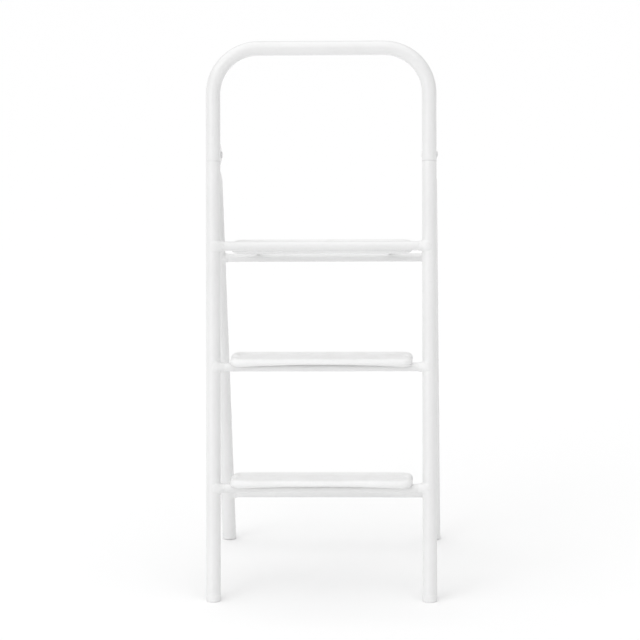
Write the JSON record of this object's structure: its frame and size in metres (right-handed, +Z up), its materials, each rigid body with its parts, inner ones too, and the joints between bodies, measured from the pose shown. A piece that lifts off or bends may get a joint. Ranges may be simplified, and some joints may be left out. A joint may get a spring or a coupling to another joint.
{
  "type": "folding step ladder shelf",
  "caption": "White tubular A-frame step ladder with level shelf-like treads, a hoop handrail and a hinged rear frame that folds flat against the front.",
  "frame": {"origin": "middle of the ladder's footprint on the floor, open", "axes": "+X across the treads, -Y toward the user who climbs, +Z up"},
  "size_m": [0.4554, 0.468, 1.0587],
  "materials": {
    "frame_coat": "thick white powder coat, satin",
    "tread_coat": "white powder coat, satin",
    "rivet_coat": "white coated rivet, satin",
    "foot_cap_plastic": "white moulded cap, matt",
    "bush_nylon": "natural nylon, matt"
  },
  "bodies": {
    "front_frame": {"hoop_handle": "frame_coat", "left_front_rail": "frame_coat", "right_front_rail": "frame_coat", "top_cross_tube": "frame_coat", "middle_cross_rod": "frame_coat", "bottom_cross_rod": "frame_coat", "top_tread": "tread_coat", "middle_tread": "tread_coat", "bottom_tread": "tread_coat", "left_hook_bearer": "frame_coat", "right_hook_bearer": "frame_coat", "left_middle_bearer": "frame_coat", "right_middle_bearer": "frame_coat", "left_bottom_bearer": "frame_coat", "right_bottom_bearer": "frame_coat", "left_hinge_bracket": "frame_coat", "right_hinge_bracket": "frame_coat", "left_pivot_rivet": "rivet_coat", "right_pivot_rivet": "rivet_coat", "left_front_foot_cap": "foot_cap_plastic", "right_front_foot_cap": "foot_cap_plastic"},
    "rear_frame": {"left_rear_leg": "frame_coat", "right_rear_leg": "frame_coat", "rear_upper_rod": "frame_coat", "rear_lower_rod": "frame_coat", "left_pivot_bushes": "bush_nylon", "right_pivot_bushes": "bush_nylon", "left_rear_foot_cap": "foot_cap_plastic", "right_rear_foot_cap": "foot_cap_plastic"}
  },
  "joints": [
    {"name": "rear_frame_hinge", "type": "hinge", "parent": "front_frame", "child": "rear_frame", "pos_m": [0, 0.00587, 0.838], "axis": [-1, 0, 0], "range_deg": [0, 27]}
  ]
}
